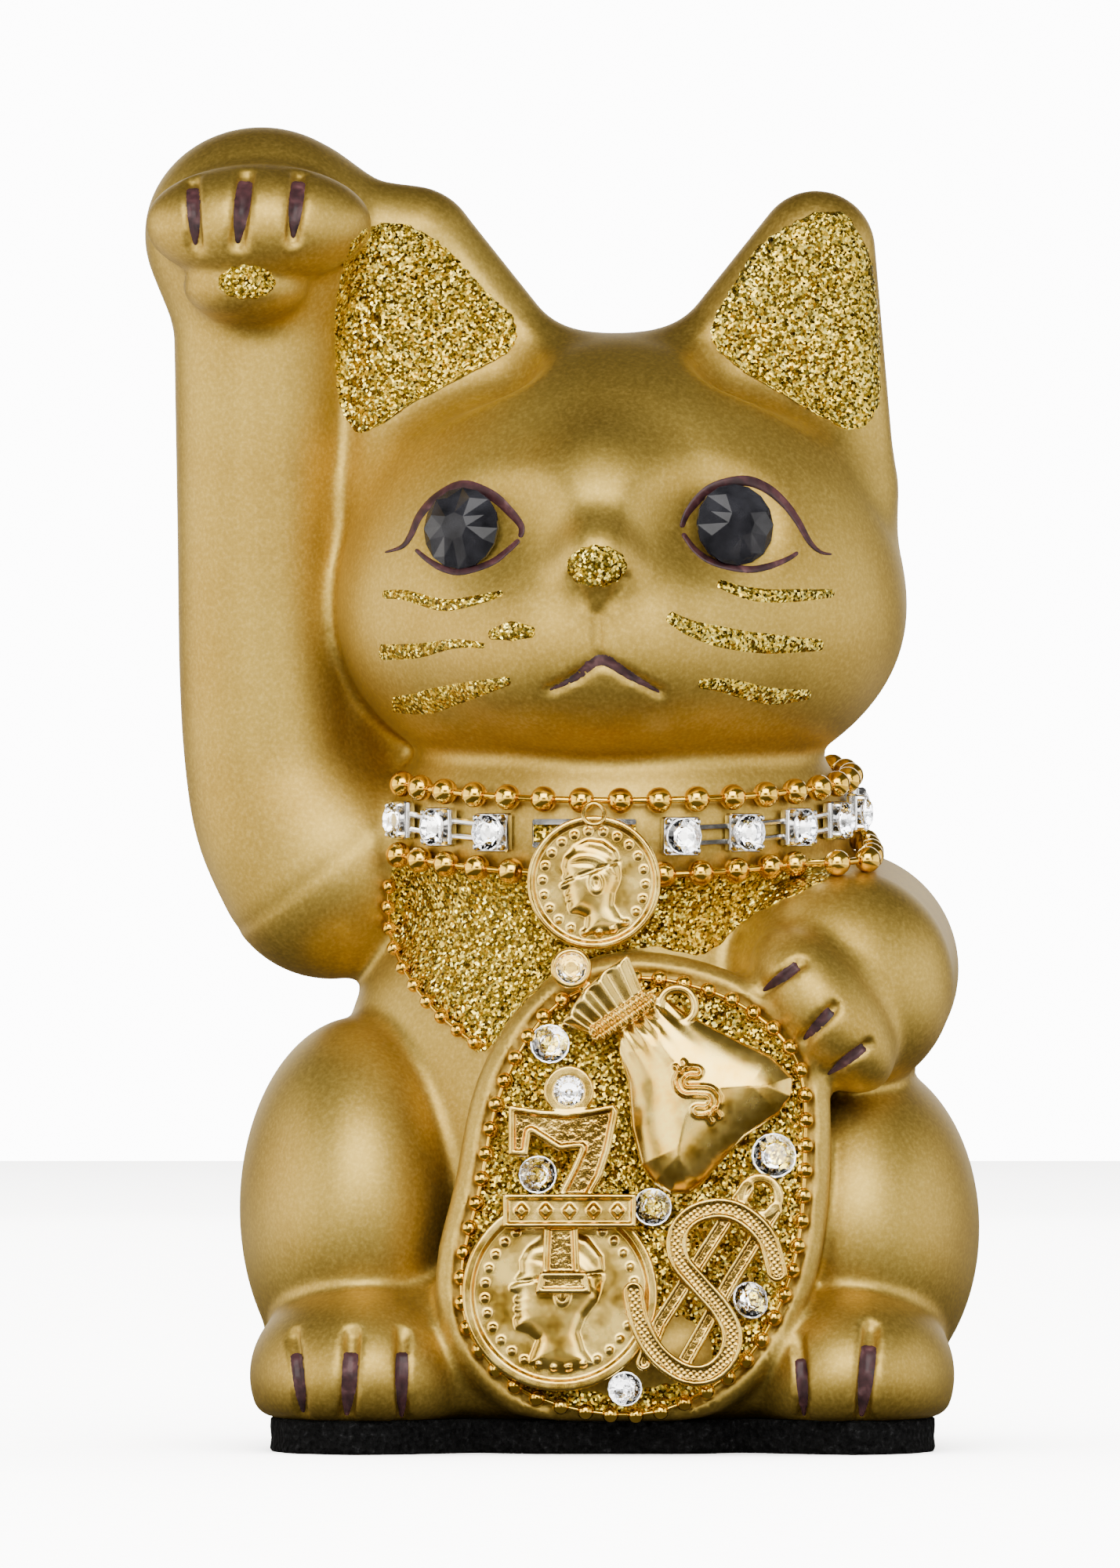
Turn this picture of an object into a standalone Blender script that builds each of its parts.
"""Beckoning-cat figurine: a hollow slip-cast body on a foam pad, dressed with chains, stones and charms.

Lengths in this script are millimetres and are turned into metres when a mesh is made.  The origin is the
middle of the pad's underside, +Z is up and the cat looks towards -Y.
"""
import math
from itertools import combinations, permutations

import bpy
import numpy as np
from mathutils import Matrix, Vector
from mathutils.bvhtree import BVHTree

MM = 0.001

# Driving dimensions
PAD_THICKNESS = 3.0
PAD_INSET = 1.6
BODY_STEP = 1.3            # sampling step of the outer surface
BODY_DETAIL = 0.033        # share of the sampled faces that is kept
HOLLOW_STEP = 3.0
HOLLOW_DETAIL = 0.08
WALL = 3.4                 # thickness of the cast shell
DRAIN_RADIUS = 5.0
GAP = 0.3                  # clearance between neighbours
DRAPE_GAP = 0.45           # the same under a patch that bends over the body
GLITTER_THICKNESS = 0.5

NECK_BEAD = 2.4            # ball chain round the neck: bead diameter and spacing
NECK_PITCH = 3.5
SMALL_BEAD = 1.5           # ball chain round the koban and along the bib
SMALL_PITCH = 2.25
COLLAR_STONE = 3.2         # cup chain between the two ball chains
COLLAR_CUP = 3.5
COLLAR_PITCH = 6.1
EYE_STONE = 7.4

FACE_X = -1.1              # the face looks a little towards -X
NECK_AXIS = (0.9, 0.0)
KOBAN_FOOT_Y = -27.9       # the koban's front face at z = 0 ...
KOBAN_LEAN = math.radians(6.0)   # ... and how far it leans back
KOBAN_RIM = 2.3            # rim outside the bead line

# The raised arm's middle line from elbow to wrist, with its radius
ARM_LINE = [
    (-25.4, 3.0, 52.6, 10.3), (-28.6, 2.6, 57.0, 9.2), (-30.5, 2.0, 62.0, 8.2),
    (-31.4, 1.2, 70.0, 7.8), (-31.7, 0.1, 85.0, 7.7), (-31.9, -1.0, 104.0, 7.8),
]
# The line of beads round the koban, seen from the front
KOBAN_LINE = [
    (4.4, 42.6), (11.5, 40.4), (16.6, 35.6), (17.5, 28.0), (16.4, 17.0), (12.4, 8.8), (5.4, 4.2), (-1.4, 3.8),
    (-8.0, 5.9), (-12.4, 10.6), (-13.3, 16.5), (-11.7, 23.7), (-9.8, 32.6), (-5.8, 39.4), (-1.0, 42.2),
]


# ---------------------------------------------------------------- curves
def smooth_line(keys, count, closed=False):
    """Evenly spaced points on a smooth curve through the key points (Catmull-Rom)."""
    keys = np.asarray(keys, float)
    total = len(keys)
    spans = total if closed else total - 1
    t = np.linspace(0, spans, 40 * spans + 1)
    i = np.minimum(t.astype(int), spans - 1)
    f = (t - i)[:, None]

    def key(n):
        return keys[n % total] if closed else keys[np.clip(n, 0, total - 1)]

    a, b, c, d = key(i - 1), key(i), key(i + 1), key(i + 2)
    fine = 0.5 * (2 * b + (c - a) * f + (2 * a - 5 * b + 4 * c - d) * f**2 + (3 * b - a - 3 * c + d) * f**3)
    return even_points(fine, count, closed)


def even_points(line, count, closed=False):
    """Points at equal distances along a polyline."""
    line = np.asarray(line, float)
    length = np.concatenate([[0], np.cumsum(np.linalg.norm(np.diff(line, axis=0), axis=1))])
    where = np.linspace(0, length[-1], count, endpoint=not closed)
    return np.stack([np.interp(where, length, axis) for axis in line.T], axis=1)


def line_length(line):
    return float(np.linalg.norm(np.diff(np.asarray(line, float), axis=0), axis=1).sum())


def arc(centre, radius, start, end, count):
    """Points on a circular arc, angles in degrees from +X towards +Y."""
    angles = np.radians(np.linspace(start, end, count))
    return [(centre[0] + radius * math.cos(a), centre[1] + radius * math.sin(a)) for a in angles]


# ---------------------------------------------------------------- clay: signed distances in millimetres
def turn_y(degrees):
    a = math.radians(degrees)
    return np.array([[math.cos(a), 0, math.sin(a)], [0, 1, 0], [-math.sin(a), 0, math.cos(a)]])


def egg(p, centre, radii, turn=None):
    """Distance to an ellipsoid."""
    q = p - np.asarray(centre, float)
    if turn is not None:
        q = q @ turn
    radii = np.asarray(radii, float)
    near = np.linalg.norm(q / radii, axis=-1)
    slope = np.linalg.norm(q / radii**2, axis=-1) + 1e-9
    return near * (near - 1) / slope


def limb(p, start, end, start_radius, end_radius):
    """Distance to a tapering, round-ended limb."""
    start = np.asarray(start, float)
    run = np.asarray(end, float) - start
    h = np.clip(((p - start) @ run) / (run @ run), 0, 1)
    radius = start_radius + h * (end_radius - start_radius)
    return np.linalg.norm(p - start - h[..., None] * run, axis=-1) - radius


def leaf(p, corners, radius, depth):
    """Distance to a rounded three-cornered plate; depth squeezes it front to back."""
    squeeze = np.array([1, 1 / depth, 1])
    q = p * squeeze
    a, b, c = [np.asarray(corner, float) * squeeze for corner in corners]
    normal = np.cross(b - a, a - c)
    normal = normal / np.linalg.norm(normal)
    inside = np.ones(q.shape[:-1], bool)
    edge = np.full(q.shape[:-1], np.inf)
    for start, end in ((a, b), (b, c), (c, a)):
        run = end - start
        away = q - start
        inside &= (away @ np.cross(run, normal)) >= 0
        h = np.clip((away @ run) / (run @ run), 0, 1)
        edge = np.minimum(edge, np.linalg.norm(away - h[..., None] * run, axis=-1))
    return (np.where(inside, np.abs((q - a) @ normal), edge) - radius) * depth


def outline_distance(p, outline):
    """Distance, in the front view, to a closed outline; negative inside it."""
    x, z = p[..., 0], p[..., 2]
    best = np.full(x.shape, np.inf)
    inside = np.zeros(x.shape, bool)
    for (ax, az), (bx, bz) in zip(outline, np.roll(outline, -1, 0)):
        ex, ez = bx - ax, bz - az
        wx, wz = x - ax, z - az
        h = np.clip((wx * ex + wz * ez) / (ex * ex + ez * ez), 0, 1)
        best = np.minimum(best, (wx - h * ex) ** 2 + (wz - h * ez) ** 2)
        if ez != 0:
            inside ^= ((az > z) != (bz > z)) & (wx < ex * wz / ez)
    return np.where(inside, -1, 1) * np.sqrt(best)


def blend(a, b, reach):
    """Join two lumps with a fillet about as wide as reach."""
    h = np.clip(0.5 + 0.5 * (b - a) / reach, 0, 1)
    return b + (a - b) * h - reach * h * (1 - h)


def carve(a, tool, reach):
    """Take the tool away from a lump and soften the edge."""
    return -blend(-a, tool, reach)


def koban_front(z):
    """Where the koban's front face lies, in y, at a height."""
    return KOBAN_FOOT_Y + math.tan(KOBAN_LEAN) * z


def koban(p):
    """The upright oval coin: a slab with a rounded rim round a shallow tray."""
    flat = outline_distance(p, smooth_line(KOBAN_LINE, 44, closed=True)) - KOBAN_RIM
    ahead = koban_front(p[..., 2]) - p[..., 1]
    edge = 1.9
    a = flat + edge
    b = np.maximum(ahead, -ahead - 7.0) + edge
    slab = np.hypot(np.maximum(a, 0), np.maximum(b, 0)) + np.minimum(np.maximum(a, b), 0) - edge
    tray = np.maximum(flat + KOBAN_RIM - SMALL_BEAD / 2, -ahead - 0.5)
    return carve(slab, tray, 0.4)


def head(p):
    d = egg(p, (1.0, -0.5, 80.8), (24.4, 22.5, 20.4))
    d = blend(d, egg(p, (1.0, -3.0, 74.8), (25.3, 21.0, 16.0)), 6)
    d = blend(d, egg(p, (FACE_X, -19.6, 82.0), (5.6, 5.0, 8.0)), 6)
    d = blend(d, egg(p, (FACE_X, -24.2, 80.4), (4.3, 4.5, 3.9)), 2)
    d = blend(d, egg(p, (FACE_X, -19.6, 72.0), (11.5, 5.6, 7.0)), 5)
    for side in (-1, 1):
        d = blend(d, egg(p, (FACE_X + side * 3.4, -21.8, 72.6), (4.6, 3.2, 4.6)), 3)
        d = carve(d, egg(p, (FACE_X + side * 12.0, -27.5, 84.0), (7.5, 8.0, 5.0)), 4)
    for side in (-1, 1):
        middle = 0.4 if side > 0 else 1.0
        corners = [(middle + side * x, -1.5, z) for x, z in ((18.4, 108.7), (8.6, 96.4), (20.2, 88.0))]
        d = blend(d, leaf(p, corners, 5.4, 0.84), 3.5)
        corners = [(middle + side * x, -9.8, z) for x, z in ((18.6, 107.2), (11.8, 99.4), (20.0, 97.0))]
        d = carve(d, leaf(p, corners, 4.6, 0.95), 2.0)
    return d


def torso(p):
    d = egg(p, (0, 1.5, 27), (25.4, 21.5, 32))
    d = blend(d, egg(p, (0, 7, 20), (29.5, 20, 22)), 4)
    d = blend(d, egg(p, (0.9, -0.5, 56.0), (21.0, 18.6, 14)), 4)
    d = blend(d, egg(p, (13, 23.5, 11), (5.5, 6.0, 6.0)), 3)
    return blend(d, egg(p, (-0.6, -1.0, 9.0), (30.6, 27.0, 12.0)), 3)


def legs(p):
    d = np.full(p.shape[:-1], 99.0)
    sizes = ((-1, 22.6, 21.6, 21.9, 10.6), (1, 22.6, 19.8, 21.4, 9.7))
    for side, thigh_x, thigh_z, foot_x, foot_width in sizes:
        thigh = egg(p, (side * thigh_x, -5.0, thigh_z), (11.0, 17.5, thigh_z - 4.2))
        foot = egg(p, (side * foot_x, -15.5, 6.8), (foot_width, 14.6, 8.8))
        d = np.minimum(d, blend(thigh, foot, 1.3))
    return d


def raised_arm(p):
    line = smooth_line(ARM_LINE, 12)
    d = np.full(p.shape[:-1], 99.0)
    for start, end in zip(line, line[1:]):
        d = np.minimum(d, limb(p, start[:3], end[:3], start[3], end[3]))
    d = blend(d, limb(p, (-24.0, 2.5, 57), (-24.5, 2.0, 104), 3.4, 4.0), 2)
    d = blend(d, limb(p, (-19.6, 5.0, 57), (-22.0, 5.0, 72), 3.8, 3.8), 2)
    paw = egg(p, (-31.7, -1.2, 110.1), (10.6, 9.6, 9.8))
    paw = blend(paw, egg(p, (-31.8, -10.6, 110.8), (10.2, 6.4, 5.4)), 1.6)
    paw = blend(paw, egg(p, (-33.0, -9.8, 105.2), (5.6, 4.6, 3.2)), 1.0)
    d = blend(d, paw, 2.5)
    return blend(d, limb(p, (-26.5, -1.0, 111.6), (-18.8, -1.3, 109.4), 5.2, 4.5), 2)


def holding_arm(p):
    d = limb(p, (21.0, 3.0, 43.2), (20.7, -11.6, 42.2), 10.9, 10.4)
    fingers = egg(p, (19.2, -19.6, 39.8), (5.0, 7.2, 8.6), turn_y(-37))
    return blend(d, fingers, 1.4)


def body_field(p):
    """The whole cast body as one distance field."""
    d = blend(torso(p), legs(p), 1.6)
    d = blend(d, head(p), 1.6)
    d = blend(d, raised_arm(p), 2.2)
    d = blend(d, koban(p), 1.0)
    d = blend(d, holding_arm(p), 1.6)
    return carve(d, p[..., 2] - PAD_THICKNESS, 1.5)


def hollow_field(p):
    """The space inside the shell: trunk and head, less the wall; arms and legs are solid."""
    return carve(blend(torso(p), head(p), 1.6), p[..., 2] - PAD_THICKNESS, 1.5) + WALL


def sample(field, low, high, step):
    """Sample a field on a regular grid, one slice at a time."""
    axes = [np.arange(a, b + step, step) for a, b in zip(low, high)]
    y, z = np.meshgrid(axes[1], axes[2], indexing="ij")
    return np.stack([field(np.stack([np.full_like(y, x), y, z], axis=-1)) for x in axes[0]])


def tetrahedra(node):
    """The six tetrahedra of every grid cell, as rows of four node numbers, all turned the same way."""
    cells = [n - 1 for n in node.shape]
    for order in permutations(range(3)):
        corner = np.zeros(3, int)
        corners = [corner]
        for axis in order:
            corner = corner + np.eye(3, dtype=int)[axis]
            corners.append(corner)
        if order not in ((0, 1, 2), (1, 2, 0), (2, 0, 1)):
            corners[1], corners[2] = corners[2], corners[1]
        windows = [tuple(slice(o, o + n) for o, n in zip(c, cells)) for c in corners]
        yield np.stack([node[window].ravel() for window in windows], axis=1)


def skin(values, low, step):
    """Triangles over the zero level of a sampled field, a closed surface (marching tetrahedra)."""
    flat = values.ravel()
    edges = []
    for tetra in tetrahedra(np.arange(values.size).reshape(values.shape)):
        inside = flat[tetra] < 0
        done = set()
        for a, b, c, d in permutations(range(4)):
            swaps = sum(x > y for x, y in combinations((a, b, c, d), 2))
            one_corner = ((a,), ((a, b), (a, c), (a, d)))
            two_corners = ((a, b), ((a, c), (a, d), (b, d), (b, c)))
            for chosen, ring in (one_corner, two_corners):
                if swaps % 2 or frozenset(chosen) in done:
                    continue
                done.add(frozenset(chosen))
                match = np.array([i in chosen for i in range(4)])
                same, other = (inside == match).all(axis=1), (inside != match).all(axis=1)
                for rows, turn in ((same, 1), (other, -1)):
                    if len(chosen) == 2 and turn < 0:
                        continue
                    found = tetra[rows][:, np.array(ring[::turn])]
                    edges += [found[:, [0, i, i + 1]] for i in range(1, len(ring) - 1)]
    edges = np.sort(np.concatenate(edges), axis=2)
    pairs, faces = np.unique(edges.reshape(-1, 2), axis=0, return_inverse=True)
    start, end = [np.stack(np.unravel_index(pairs[:, i], values.shape), axis=1) for i in (0, 1)]
    share = np.clip(flat[pairs[:, 0]] / (flat[pairs[:, 0]] - flat[pairs[:, 1]]), 0.1, 0.9)
    points = (start + share[:, None] * (end - start)) * step + np.asarray(low)
    return points, faces.reshape(-1, 3)


# ---------------------------------------------------------------- objects
def clear_scene():
    for item in list(bpy.data.objects):
        bpy.data.objects.remove(item, do_unlink=True)


def material(name, colour, roughness, metallic):
    made = bpy.data.materials.new(name)
    made.use_nodes = True
    shader = made.node_tree.nodes["Principled BSDF"]
    shader.inputs["Base Color"].default_value = (*colour, 1)
    shader.inputs["Roughness"].default_value = roughness
    shader.inputs["Metallic"].default_value = metallic
    return made


def solid(name, points, faces, look, sharp=35):
    """An object from points in millimetres, its origin at the middle of them."""
    points = np.asarray(points, float)
    centre = (points.min(axis=0) + points.max(axis=0)) / 2
    mesh = bpy.data.meshes.new(name)
    mesh.from_pydata(((points - centre) * MM).tolist(), [], [[int(i) for i in face] for face in faces])
    mesh.shade_smooth()
    mesh.set_sharp_from_angle(angle=math.radians(sharp))
    made = bpy.data.objects.new(name, mesh)
    made.location = centre * MM
    made.data.materials.append(look)
    bpy.context.scene.collection.objects.link(made)
    return made


def helper(item):
    """Mark an object as a cutter or an operand that isn't a part of its own."""
    item.hide_render = True
    item.display_type = "WIRE"
    return item


def combine(target, other, operation):
    step = target.modifiers.new(operation.title(), "BOOLEAN")
    step.operation = operation
    step.object = helper(other)
    step.solver = "EXACT"


def rectangle(left, bottom, right, top):
    return [(left, bottom), (right, bottom), (right, top), (left, top)]


def prism(outline, low, high):
    """Points and faces of an outline (x, y) between two heights; the outline runs anticlockwise."""
    n = len(outline)
    points = [(x, y, z) for z in (low, high) for x, y in outline]
    sides = [(i, (i + 1) % n, (i + 1) % n + n, i + n) for i in range(n)]
    return points, [tuple(range(n))[::-1], tuple(range(n, 2 * n)), *sides]


def turned(profile, sides):
    """Points and faces of a profile of (radius, height), bottom to top, turned about Z."""
    rings = [(r, z) for r, z in profile if r > 0]
    angles = [2 * math.pi * i / sides for i in range(sides)]
    points = [(r * math.cos(a), r * math.sin(a), z) for r, z in rings for a in angles]
    faces = []
    for ring in range(len(rings) - 1):
        for i in range(sides):
            j = (i + 1) % sides
            faces.append((ring * sides + i, ring * sides + j, (ring + 1) * sides + j, (ring + 1) * sides + i))
    faces.append(tuple(range(sides))[::-1])
    faces.append(tuple(range((len(rings) - 1) * sides, len(rings) * sides)))
    return points, faces


def swept(line, outwards, sections, closed=False):
    """Points and faces of cross-sections set along a line.

    sections holds one list of (sideways, outwards) offsets for each point of the line.
    """
    line, outwards = np.asarray(line), np.asarray(outwards)
    along = np.roll(line, -1, 0) - np.roll(line, 1, 0)
    if not closed:
        along[0], along[-1] = line[1] - line[0], line[-1] - line[-2]
    along /= np.linalg.norm(along, axis=1)[:, None]
    sideways = np.cross(outwards, along)
    sideways /= np.linalg.norm(sideways, axis=1)[:, None]
    up = np.cross(along, sideways)
    points = [p + a * s + b * u for p, s, u, ring in zip(line, sideways, up, sections) for a, b in ring]
    n, m = len(sections[0]), len(line)
    faces = []
    for i in range(m if closed else m - 1):
        for j in range(n):
            k, here, there = (j + 1) % n, i * n, (i + 1) % m * n
            faces.append((here + k, there + k, there + j, here + j))
    if not closed:
        faces.append(tuple(range(n))[::-1])
        faces.append(tuple(range((m - 1) * n, m * n)))
    return points, faces


def evaluated_tree(item):
    graph = bpy.context.evaluated_depsgraph_get()
    mesh = item.evaluated_get(graph).to_mesh()
    world = item.matrix_world
    return BVHTree.FromPolygons([world @ v.co for v in mesh.vertices], [f.vertices for f in mesh.polygons])


class Pile:
    """The finished pieces, as seen by a ray that comes in from the front or from beside the neck."""

    def __init__(self):
        self.trees = []

    def add(self, item):
        bpy.context.view_layer.update()
        self.trees.append(evaluated_tree(item))

    def reach(self, origin, direction):
        """Distance along a ray, in millimetres, to the first piece."""
        start, way = Vector(origin) * MM, Vector(direction).normalized()
        hits = [tree.ray_cast(start, way)[3] for tree in self.trees]
        return min((hit for hit in hits if hit is not None), default=1.0) / MM

    def front(self, x, z):
        """The y of the first surface behind a point of the front view."""
        return self.reach((x, -60, z), (0, 1, 0)) - 60

    def settle(self, item, step=0.45):
        """Push a piece straight back until it lies GAP in front of the pile."""
        bpy.context.view_layer.update()
        tree = evaluated_tree(item)
        corners = [item.matrix_world @ Vector(corner) for corner in item.bound_box]
        low = [min(c[i] for c in corners) / MM for i in range(3)]
        high = [max(c[i] for c in corners) / MM for i in range(3)]
        room = []
        for x in np.arange(low[0], high[0] + step, step):
            for z in np.arange(low[2], high[2] + step, step):
                hit = tree.ray_cast(Vector((x, 60, z)) * MM, Vector((0, -1, 0)))[3]
                if hit is not None:
                    room.append(self.front(x, z) - (60 - hit / MM))
        item.location.y += (min(room) - GAP) * MM
        self.add(item)
        return item


# ---------------------------------------------------------------- body and pad
def make_body():
    low, high = (-44, -33, 1), (36, 32, 122)
    values = sample(body_field, low, high, BODY_STEP)
    body = solid("body_shell", *skin(values, low, BODY_STEP), LOOKS["satin_gold"], sharp=60)
    thin = body.modifiers.new("Decimate", "DECIMATE")
    thin.ratio = BODY_DETAIL
    core = sample(hollow_field, low, high, HOLLOW_STEP)
    hollow = solid("body_hollow", *skin(core, low, HOLLOW_STEP), LOOKS["satin_gold"])
    thin = hollow.modifiers.new("Decimate", "DECIMATE")
    thin.ratio = HOLLOW_DETAIL
    drain = [(DRAIN_RADIUS, 0), (DRAIN_RADIUS, PAD_THICKNESS + 3 * WALL)]
    cutter = solid("drain_hole", *turned(drain, 20), LOOKS["satin_gold"])
    combine(body, hollow, "DIFFERENCE")
    combine(body, cutter, "DIFFERENCE")
    return body


def make_pad():
    """The foam pad follows the body's footprint, a little inside its edge."""
    outline = []
    for angle in np.linspace(0, 2 * math.pi, 40, endpoint=False):
        radii = np.linspace(15, 40, 400)
        height = np.full(400, PAD_THICKNESS + 2.5)
        away = np.stack([radii * math.cos(angle), radii * math.sin(angle), height], axis=-1)
        radius = radii[np.argmax(body_field(away) > -PAD_INSET)]
        outline.append((radius * math.cos(angle), radius * math.sin(angle)))
    before, after = outline[-1:] + outline, outline[1:] + outline
    soft = [tuple(0.5 * np.add(b, np.add(a, c) / 2)) for a, b, c in zip(before, outline, after)]
    pad = solid("base_pad", *prism(soft, 0, PAD_THICKNESS - GAP), LOOKS["black_foam"])
    return pad


# ---------------------------------------------------------------- paint-on glitter
def draped(name, first, second, columns, rows, pile, look):
    """A thin patch between two lines of the front view, lying GAP in front of the surface."""
    first, second = even_points(first, columns), even_points(second, columns)
    grid = [[a + (b - a) * v for a, b in zip(first, second)] for v in np.linspace(0, 1, rows)]
    nearby = [(i, j) for i in (-0.4, 0, 0.4) for j in (-0.4, 0, 0.4)]
    deepest = [[min(pile.front(x + i, z + j) for i, j in nearby) for x, z in row] for row in grid]
    back = np.array([[(x, y - DRAPE_GAP, z) for (x, z), y in zip(*rows)] for rows in zip(grid, deepest)])
    front = back - (0, GLITTER_THICKNESS, 0)
    n = rows * columns
    points = np.concatenate([front.reshape(-1, 3), back.reshape(-1, 3)])
    number = np.arange(n).reshape(rows, columns)
    faces = []
    for r in range(rows - 1):
        for c in range(columns - 1):
            quad = (number[r, c], number[r, c + 1], number[r + 1, c + 1], number[r + 1, c])
            faces += [quad, tuple(i + n for i in reversed(quad))]
    border = [*number[0], *number[1:, -1], *number[-1, -2::-1], *number[-2:0:-1, 0]]
    for a, b in zip(border, border[1:] + border[:1]):
        faces.append((b, a, a + n, b + n))
    if np.cross(first[1] - first[0], second[0] - first[0]) < 0:
        faces = [tuple(reversed(face)) for face in faces]
    made = solid(name, points, faces, look)
    pile.add(made)
    return made


def oval_halves(centre, width, height, count=9):
    """The lower and the upper half of a small oval, both from left to right."""
    angles = np.linspace(math.pi * 0.98, math.pi * 0.02, count)
    x = centre[0] + width / 2 * np.cos(angles)
    rise = height / 2 * np.sin(angles)
    return np.stack([x, centre[1] - rise], axis=1), np.stack([x, centre[1] + rise], axis=1)


def stroke(line, widths, count):
    """The lower and the upper edge of a painted stroke whose width changes along it."""
    line = smooth_line(line, count)
    width = np.interp(np.linspace(0, 1, count), np.linspace(0, 1, len(widths)), widths)
    return line - np.stack([0 * width, width / 2], 1), line + np.stack([0 * width, width / 2], 1)


WHISKERS = [
    ([(-20.6, 77.2), (-18.4, 77.1), (-15.0, 76.2), (-11.7, 76.7), (-9.6, 77.3)], (0.8, 1.1, 0.8)),
    ([(-20.9, 72.0), (-17.4, 72.1), (-14.0, 72.7), (-11.2, 72.5)], (1.6, 1.4, 0.6)),
    ([(-11.0, 73.4), (-9.0, 73.8), (-6.7, 73.7)], (1.0, 2.0, 1.0)),
    ([(-19.8, 67.3), (-17.0, 67.4), (-13.0, 68.4), (-8.9, 69.4)], (1.6, 2.5, 1.0)),
    ([(9.6, 78.2), (12.1, 77.3), (15.0, 77.0), (20.3, 77.3)], (0.9, 1.35, 1.0)),
    ([(5.1, 75.2), (8.0, 73.8), (13.1, 72.8), (19.3, 72.6)], (1.2, 2.1, 1.3)),
    ([(7.9, 69.1), (10.5, 68.9), (14.5, 68.0), (18.2, 68.2)], (1.0, 1.7, 1.2)),
]
LEFT_EAR_INNER = [(-12.1, 97.8), (-9.2, 100.2), (-9.4, 102.9), (-12.6, 107.0), (-15.6, 109.8), (-19.0, 110.9)]
LEFT_EAR_OUTER = [
    (-13.6, 97.0), (-18.5, 94.3), (-22.2, 92.6), (-23.4, 96.0), (-23.6, 102.0), (-23.2, 106.5),
    (-20.8, 110.2),
]
RIGHT_EAR_INNER = [(12.1, 97.6), (9.3, 100.2), (9.6, 103.1), (12.6, 108.2), (16.6, 111.2), (19.6, 112.2)]
RIGHT_EAR_OUTER = [
    (13.6, 96.9), (18.3, 94.4), (21.8, 92.8), (23.8, 96.0), (24.2, 101.6), (22.8, 109.8), (21.0, 111.8),
]
BIB_LOWER = [
    (-18.3, 50.2), (-18.5, 46.5), (-16.6, 42.4), (-12.6, 38.6), (-10.6, 39.4), (-8.0, 42.4), (-4.0, 45.4),
    (4.4, 46.0), (9.0, 46.0), (13.0, 49.6),
]
BIB_UPPER = [(-17.6, 50.6), (-12.0, 50.2), (-6.0, 49.8), (4.0, 49.8), (10.0, 50.6), (13.6, 50.9)]


def make_glitter(pile):
    look = LOOKS["glitter_gold"]
    draped("ear_glitter_left", LEFT_EAR_INNER, LEFT_EAR_OUTER, 10, 6, pile, look)
    draped("ear_glitter_right", RIGHT_EAR_INNER, RIGHT_EAR_OUTER, 10, 6, pile, look)
    for number, (line, widths) in enumerate(WHISKERS, 1):
        draped(f"whisker_glitter_{number}", *stroke(line, widths, 6), 6, 2, pile, look)
    draped("nose_glitter", *oval_halves((-1.2, 79.7), 5.2, 3.7, 7), 7, 3, pile, look)
    draped("paw_pad_glitter", *oval_halves((-32.8, 105.4), 5.2, 3.0, 7), 7, 3, pile, look)
    draped("bib_glitter", BIB_LOWER, BIB_UPPER, 12, 4, pile, look)


# ---------------------------------------------------------------- chains
def bead_sections(beads, radius, wire, sides):
    """Cross-sections of a ball chain: for each bead, two necks and two belts."""
    rings = []
    for _ in range(beads):
        for size in (wire, radius * 0.9, radius * 0.9, wire):
            angles = np.arange(sides) * 2 * math.pi / sides
            rings.append([(size * math.cos(a), size * math.sin(a)) for a in angles])
    return rings


def ball_chain(name, centres, outwards, diameter, look, closed=False, sides=6):
    """One ball chain: beads threaded on a wire, as a single swept body."""
    centres, outwards = np.asarray(centres), np.asarray(outwards)
    along = np.roll(centres, -1, 0) - np.roll(centres, 1, 0)
    if not closed:
        along[0], along[-1] = centres[1] - centres[0], centres[-1] - centres[-2]
    along /= np.linalg.norm(along, axis=1)[:, None]
    radius = diameter / 2
    line = [c + a * t * radius for c, a in zip(centres, along) for t in (-0.92, -0.42, 0.42, 0.92)]
    sections = bead_sections(len(centres), radius, radius * 0.36, sides)
    return solid(name, *swept(line, np.repeat(outwards, 4, axis=0), sections, closed), look)


def resting(pile, origin, direction, radius, half_height=None):
    """Where a bead, or a flat piece of some half height, comes to rest when it moves along a ray."""
    origin, way = np.asarray(origin, float), np.asarray(direction, float)
    way = way / np.linalg.norm(way)
    side = np.cross(way, (0, 0, 1))
    side /= np.linalg.norm(side)
    best = pile.reach(origin, way) - (half_height or radius)
    for ring in (0.5, 0.9, 1.0):
        depth = half_height or radius * math.sqrt(1 - ring * ring)
        for angle in np.arange(8) * math.pi / 4:
            offset = radius * ring * (math.cos(angle) * side + math.sin(angle) * np.array((0, 0, 1)))
            best = min(best, pile.reach(origin + offset, way) - depth)
    return origin + way * (best - GAP)


def neck_point(pile, angle, height, radius, half_height=None):
    """A place on the neck: the angle runs from the front towards +X."""
    away = np.array([math.sin(angle), -math.cos(angle), 0])
    origin = np.array([*NECK_AXIS, height]) + 34 * away
    return resting(pile, origin, -away, radius, half_height), away


def neck_line(pile, start, end, height, tilt, radius, pitch, half_height=None):
    """Places at equal distances along a ring that dips towards the front."""
    angles = np.radians(np.linspace(start, end, 120))
    places = [neck_point(pile, a, height - tilt * math.cos(a), radius, half_height) for a in angles]
    line = np.array([place for place, _ in places])
    count = int(line_length(line) / pitch) + 1
    length = np.concatenate([[0], np.cumsum(np.linalg.norm(np.diff(line, axis=0), axis=1))])
    chosen = np.interp(np.arange(count) * pitch, length, angles)
    places = [neck_point(pile, a, height - tilt * math.cos(a), radius, half_height) for a in chosen]
    return np.array([p for p, _ in places]), np.array([a for _, a in places]), chosen


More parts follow.
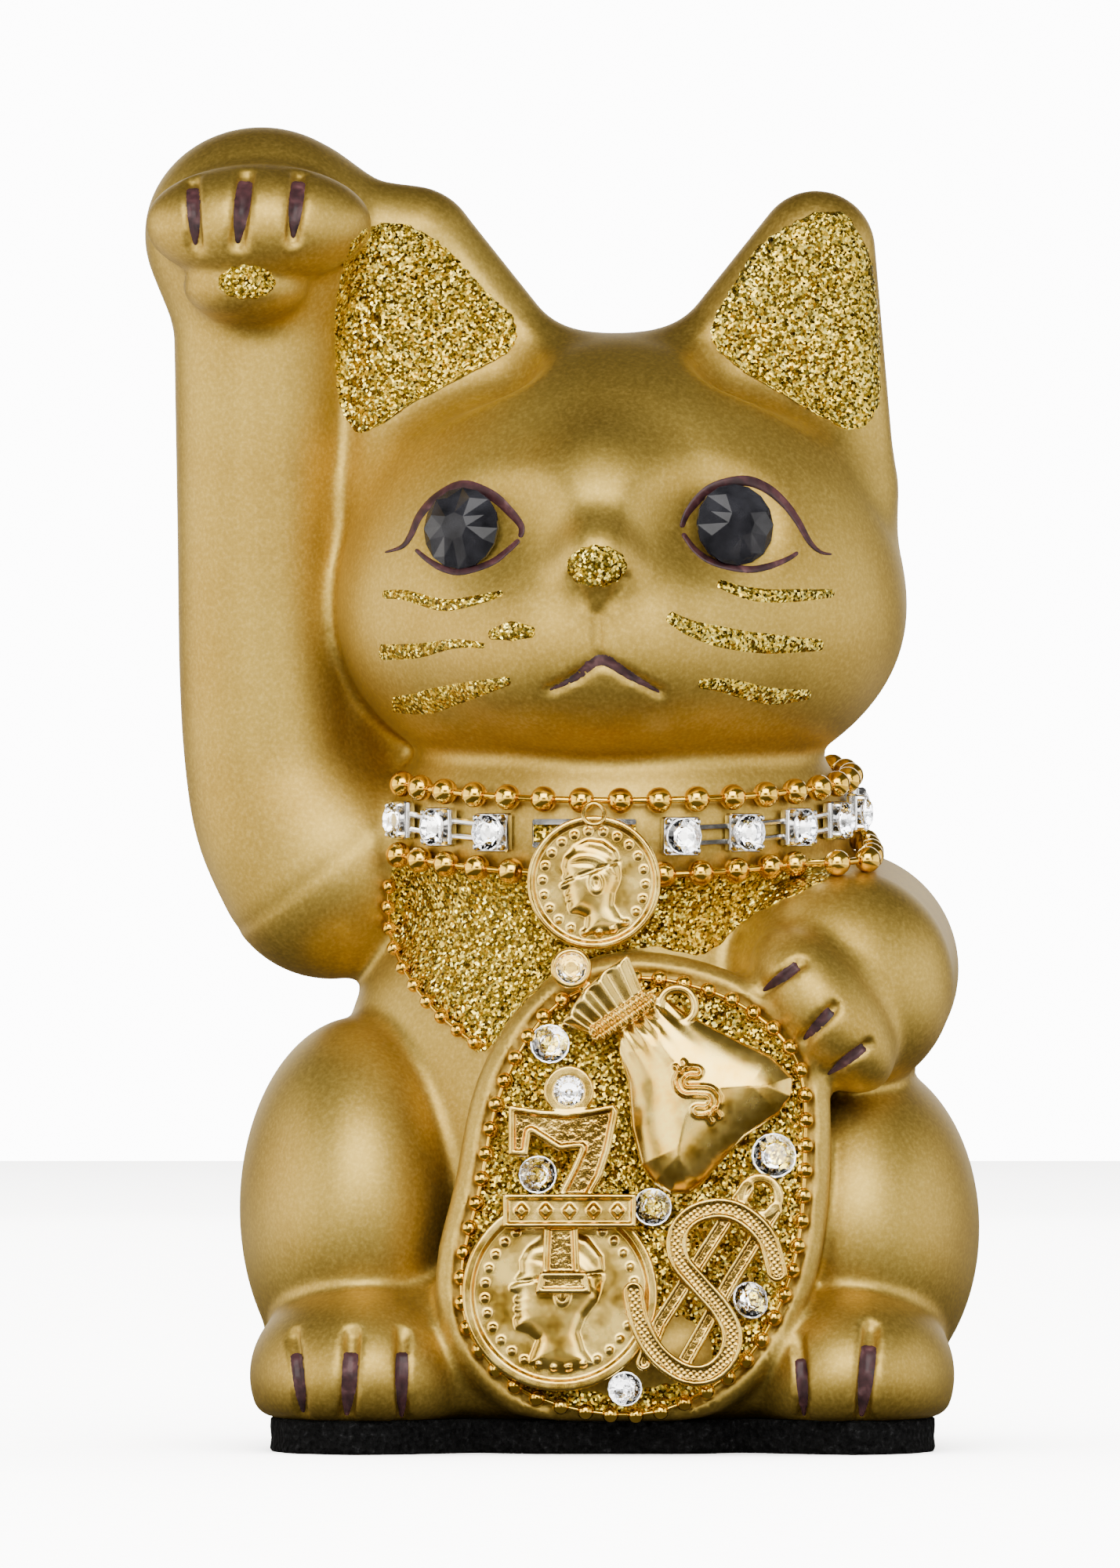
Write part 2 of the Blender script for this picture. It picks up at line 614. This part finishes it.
def make_neck_chains(pile):
    rings = (("neck_chain_upper", -68, 237, 61.0, 2.4), ("neck_chain_lower", -67, 237, 54.8, 2.9))
    for name, start, end, height, tilt in rings:
        centres, away, _ = neck_line(pile, start, end, height, tilt, NECK_BEAD / 2, NECK_PITCH)
        pile.add(ball_chain(name, centres, away, NECK_BEAD, LOOKS["bright_gold"]))


def make_koban_chain(pile):
    length = line_length(smooth_line(KOBAN_LINE, 400, closed=True))
    beads = round(length / SMALL_PITCH)
    line = smooth_line(KOBAN_LINE, beads, closed=True)
    centres = [resting(pile, (x, -60, z), (0, 1, 0), SMALL_BEAD / 2) for x, z in line]
    outwards = [(0, -1, 0)] * beads
    pile.add(ball_chain("koban_chain", centres, outwards, SMALL_BEAD, LOOKS["bright_gold"], closed=True))


def make_bib_chain(pile):
    line = [(-20.0, 50.8), (-20.1, 47.6), (-19.4, 44.8), (-17.7, 41.9), (-15.2, 39.1), (-12.2, 36.8)]
    beads = round(line_length(line) / 1.95) + 1
    centres = [resting(pile, (x, -60, z), (0, 1, 0), 0.65) for x, z in smooth_line(line, beads)]
    pile.add(ball_chain("bib_chain", centres, [(0, -1, 0)] * beads, 1.3, LOOKS["bright_gold"]))


# ---------------------------------------------------------------- stones
def gem_shape(diameter, sides=8):
    """A flat-backed cut stone: girdle, sloping crown and table."""
    r = diameter / 2
    return turned([(r * 0.8, 0), (r, 0.22 * r), (r * 0.55, 0.75 * r)], sides)


def face_to(item, centre, away):
    """Put a piece modelled along +Z at a place, its top facing away."""
    item.location = Vector(centre) * MM
    item.rotation_mode = "QUATERNION"
    item.rotation_quaternion = Vector(away).to_track_quat("Z", "Y")


def stone(name, diameter, look, sides=8):
    made = solid(name, *gem_shape(diameter, sides), look, sharp=10)
    return made


def make_collar(pile):
    """The cup chain: square cups on flat links, a stone in each cup, and a plate that joins its ends."""
    plate = solid("collar_connector", *prism(rectangle(-4.7, -1.3, 4.7, 1.3), 0, 1.2), LOOKS["silver"])
    face_to(plate, (-2.3, -45, 55.6), (0, -1, 0))
    pile.settle(plate)
    half = COLLAR_CUP / 2
    steps = ((-half - 0.05, 0.5, 0.25), (-half, half, 0.65), (half, half, 0.65), (half + 0.05, 0.5, 0.25))
    centres, sections, aways, seats = [], [], [], []
    for start, end in ((16, 236), (-67, -29)):
        places, away, angles = neck_line(pile, start, end, 57.8, 2.5, COLLAR_CUP * 0.7, COLLAR_PITCH, 0.65)
        strip = []
        for centre, out in zip(places, away):
            along = np.array([-out[1], out[0], 0])
            seats.append((centre, out))
            for shift, width, height in steps:
                strip.append((centre + along * shift, out, rectangle(-width, -height, width, height)))
        centres.append([s[0] for s in strip])
        aways.append([s[1] for s in strip])
        sections.append([s[2] for s in strip])
    for number, (line, out, rings) in enumerate(zip(centres, aways, sections), 1):
        pile.add(solid(f"collar_cups_{number}", *swept(line, out, rings), LOOKS["silver"]))
    for number, (centre, out) in enumerate(seats, 1):
        gem = stone(f"collar_stone_{number:02d}", COLLAR_STONE, LOOKS["crystal"])
        face_to(gem, centre + out * (0.65 + GAP + 0.6), out)


def make_eyes(pile):
    for name, x, z, turn in (("left", -13.4, 83.1, 26), ("right", 11.25, 83.4, 22)):
        side = -1 if name == "left" else 1
        gem = stone(f"eye_stone_{name}", EYE_STONE, LOOKS["jet"], sides=12)
        outwards = (side * math.sin(math.radians(turn)), -math.cos(math.radians(turn)), 0.12)
        face_to(gem, (x, -45, z), outwards)
        pile.settle(gem)


KOBAN_STONES = [
    (-5.4, 36.8, 3.3), (-6.5, 25.1, 3.2), (3.8, 22.2, 3.2),
    (14.6, 26.8, 3.8), (12.6, 13.9, 3.1), (1.3, 6.2, 2.8),
]


def on_koban(item, x, z):
    """Lay a piece modelled flat in X and Y against the koban, in front of everything on it."""
    item.location = Vector((x, -45, z)) * MM
    item.rotation_euler = (math.pi / 2 - KOBAN_LEAN, 0, 0)
    return item


def make_koban_stones(pile):
    for number, (x, z, diameter) in enumerate(KOBAN_STONES, 1):
        gem = stone(f"koban_stone_{number}", diameter, LOOKS["crystal"])
        pile.settle(on_koban(gem, x, z))


# ---------------------------------------------------------------- charms, modelled flat, +Z outwards
def charm(name, outline, thickness, look="charm_gold", bevel=0.0):
    made = solid(name, *prism(outline, 0, thickness), LOOKS[look])
    if bevel:
        edge = made.modifiers.new("Bevel", "BEVEL")
        edge.width = bevel * MM
        edge.segments = 1
        edge.limit_method = "ANGLE"
        edge.angle_limit = math.radians(60)
    return made


def ring_shape(outer, inner, low, high, sides=20):
    """Points and faces of a flat ring."""
    profile = [(outer, low), (outer, high), (inner, high), (inner, low)]
    angles = np.arange(sides) * 2 * math.pi / sides
    points = [(r * math.cos(a), r * math.sin(a), z) for r, z in profile for a in angles]
    faces = []
    for ring in range(4):
        for i in range(sides):
            j, next_ring = (i + 1) % sides, (ring + 1) % 4
            faces.append((ring * sides + i, ring * sides + j, next_ring * sides + j, next_ring * sides + i))
    return points, faces


def join_to(target, name, points, faces, shift=(0, 0)):
    """Weld another shape, given in the target's own flat frame, onto a charm."""
    other = solid(name, points, faces, LOOKS["charm_gold"])
    slide = Matrix.Translation(Vector((*shift, 0)) * MM)
    other.matrix_world = target.matrix_world @ slide @ Matrix.Translation(other.location)
    combine(target, other, "UNION")
    other.parent = target
    other.matrix_parent_inverse = target.matrix_world.inverted()
    return other


def framed(name, outline, thickness, look="charm_gold", bevel=0.0):
    """A charm whose object frame is the flat frame that its outline is given in."""
    made = charm(name, outline, thickness, look, bevel)
    made.data.transform(Matrix.Translation(made.location))
    made.location = (0, 0, 0)
    return made


BUST = [
    (-0.34, -0.50), (0.34, -0.46), (0.22, -0.22), (0.40, 0.06), (0.32, 0.40),
    (0.02, 0.52), (-0.26, 0.38), (-0.36, 0.10), (-0.30, -0.12), (-0.16, -0.28),
]


def coin(name, radius):
    """A coin with a raised rim and a plain head in relief."""
    made = framed(name, arc((0, 0), radius, 0, 345, 24), 0.9)
    join_to(made, name + "_rim", *ring_shape(radius - 0.02, radius * 0.88, 0.5, 1.2, 24))
    head_outline = [(x * radius * 1.25, y * radius * 1.25) for x, y in BUST]
    join_to(made, name + "_bust", *prism(head_outline, 0.5, 1.3))
    return made


def make_coin_pendant(pile):
    made = coin("coin_pendant", 6.0)
    made.location = Vector((-1.45, -45, 51.2)) * MM
    made.rotation_euler = (math.pi / 2 - math.radians(4), 0, 0)
    pile.settle(made)


def make_large_coin(pile):
    pile.settle(on_koban(coin("large_coin", 8.7), -4.5, 14.4))


def make_bag_charm(pile):
    """A tied money bag: belly, neck band, open mouth, cord loop and a ring for a stone."""
    belly = [
        (0.6, 38.4), (0.9, 34.0), (1.9, 29.4), (2.75, 26.0), (4.4, 24.1), (6.4, 23.5), (8.1, 24.2),
        (12.1, 28.6), (15.4, 30.9), (16.4, 33.3), (14.6, 35.9), (10.2, 37.9), (4.2, 41.8),
    ]
    made = framed("bag_charm", ordered(belly), 1.6, bevel=0.5)
    mouth = [(-4.2, 38.9), (-1.9, 37.6), (1.2, 39.2), (3.0, 42.0), (1.4, 44.9)]
    join_to(made, "bag_mouth", *prism(ordered(mouth), 0, 1.3))
    band = ordered([(-1.7, 37.9), (-0.6, 36.5), (4.9, 40.6), (3.9, 42.0)])
    join_to(made, "bag_band", *prism(band, 0.2, 2.2))
    join_to(made, "bag_loop", *ring_shape(1.7, 0.9, 0.3, 1.5, 14), shift=(6.0, 40.2))
    join_to(made, "bag_stone_ring", *turned([(1.75, 0), (1.75, 1.1)], 14), shift=(-3.2, 43.4))
    arm = ordered([(-3.6, 42.9), (-2.8, 41.4), (0.4, 41.8), (-0.4, 43.0)])
    join_to(made, "bag_stone_arm", *prism(arm, 0.2, 1.0))
    on_koban(made, 0, 0)
    pile.settle(made)
    gem = stone("bag_stone", 2.7, LOOKS["crystal"])
    pile.settle(on_koban(gem, -3.2, 43.6))


def clockwise(outline):
    x, y = np.asarray(outline, float).T
    return float(np.sum(x * np.roll(y, -1) - y * np.roll(x, -1))) < 0


def ordered(outline):
    """The same outline, running anticlockwise."""
    return outline[::-1] if clockwise(outline) else outline


def make_seven_charm(pile):
    """A numeral seven that stands on a bar, a stem and a foot, under a ring that holds a stone."""
    top = [
        (-9.1, 31.4), (-9.1, 26.9), (-7.4, 26.8), (-7.0, 28.7), (-4.6, 27.4), (-2.7, 27.5),
        (-4.6, 23.0), (-1.7, 23.0), (0.0, 27.3), (0.7, 31.4), (-3.8, 30.6),
    ]
    made = framed("seven_charm", ordered(top), 1.5)
    join_to(made, "seven_bar", *prism(rectangle(-9.6, 20.4, 2.3, 23.4), 0, 1.3))
    join_to(made, "seven_stem", *prism(rectangle(-6.1, 16.0, -2.7, 20.9), 0, 1.1))
    join_to(made, "seven_foot", *prism(rectangle(-6.7, 14.5, -1.7, 16.2), 0, 1.4))
    join_to(made, "seven_ring", *turned([(2.25, 0), (2.25, 1.2)], 18), shift=(-3.7, 32.6))
    on_koban(made, 0, 0)
    pile.settle(made)
    gem = stone("seven_stone", 2.7, LOOKS["crystal"])
    pile.settle(on_koban(gem, -3.7, 32.8))


DOLLAR_LINE = [
    (14.9, 16.4), (14.0, 19.4), (12.0, 21.4), (9.8, 22.1), (7.4, 21.5), (6.0, 19.8), (6.2, 17.4), (8.0, 15.2),
    (9.9, 13.0), (10.9, 10.8), (10.4, 8.7), (8.8, 7.3), (6.6, 7.3), (4.2, 9.0), (2.7, 11.6), (2.05, 14.6),
]


def ribbon(line, width, count):
    """The outline of a flat band that follows a smooth line."""
    line = smooth_line(line, count)
    along = np.gradient(line, axis=0)
    along /= np.linalg.norm(along, axis=1)[:, None]
    side = np.stack([-along[:, 1], along[:, 0]], axis=1) * width / 2
    return ordered([tuple(p) for p in (line + side)] + [tuple(p) for p in (line - side)[::-1]])


def make_dollar_charm(pile):
    made = framed("dollar_charm", ribbon(DOLLAR_LINE, 1.9, 26), 1.5)
    for number, (start, end) in enumerate((((12.1, 24.0), (3.4, 10.4)), ((14.6, 21.9), (6.7, 8.6))), 1):
        join_to(made, f"dollar_bar_{number}", *prism(ribbon([start, end], 1.3, 2), 0.2, 1.2))
    join_to(made, "dollar_bail", *ring_shape(2.1, 1.0, 0.3, 1.3, 16), shift=(13.3, 23.1))
    on_koban(made, 0, 0)
    pile.settle(made)


def make_koban_glitter(pile):
    """A level bed of glitter inside the bead line."""
    line = smooth_line(KOBAN_LINE, 400, closed=True)
    along = np.roll(line, -1, 0) - np.roll(line, 1, 0)
    along /= np.linalg.norm(along, axis=1)[:, None]
    inwards = np.stack([along[:, 1], -along[:, 0]], axis=1)
    inner = (line + inwards * (SMALL_BEAD / 2 + 0.45))[::12]
    outline = ordered([tuple(p) for p in inner])
    bed = framed("koban_glitter", outline, GLITTER_THICKNESS, look="glitter_gold")
    on_koban(bed, 0, 0)
    pile.settle(bed)


LOOKS = {}


def make_looks():
    for name, colour, roughness, metallic in (
        ("satin_gold", (0.38, 0.27, 0.09), 0.42, 0.85),
        ("glitter_gold", (0.52, 0.38, 0.10), 0.30, 0.90),
        ("bright_gold", (0.80, 0.50, 0.16), 0.16, 1.0),
        ("charm_gold", (0.83, 0.60, 0.36), 0.15, 1.0),
        ("silver", (0.75, 0.75, 0.74), 0.20, 1.0),
        ("crystal", (0.92, 0.94, 0.96), 0.03, 0.0),
        ("jet", (0.01, 0.01, 0.012), 0.05, 0.0),
        ("black_foam", (0.02, 0.02, 0.02), 0.95, 0.0),
    ):
        LOOKS[name] = material(name, colour, roughness, metallic)


def main():
    clear_scene()
    make_looks()
    pile = Pile()
    pile.add(make_body())
    make_pad()
    make_glitter(pile)
    make_koban_chain(pile)
    make_koban_glitter(pile)
    make_collar(pile)
    make_neck_chains(pile)
    make_bib_chain(pile)
    make_eyes(pile)
    make_coin_pendant(pile)
    make_large_coin(pile)
    make_seven_charm(pile)
    make_dollar_charm(pile)
    make_bag_charm(pile)
    make_koban_stones(pile)


main()
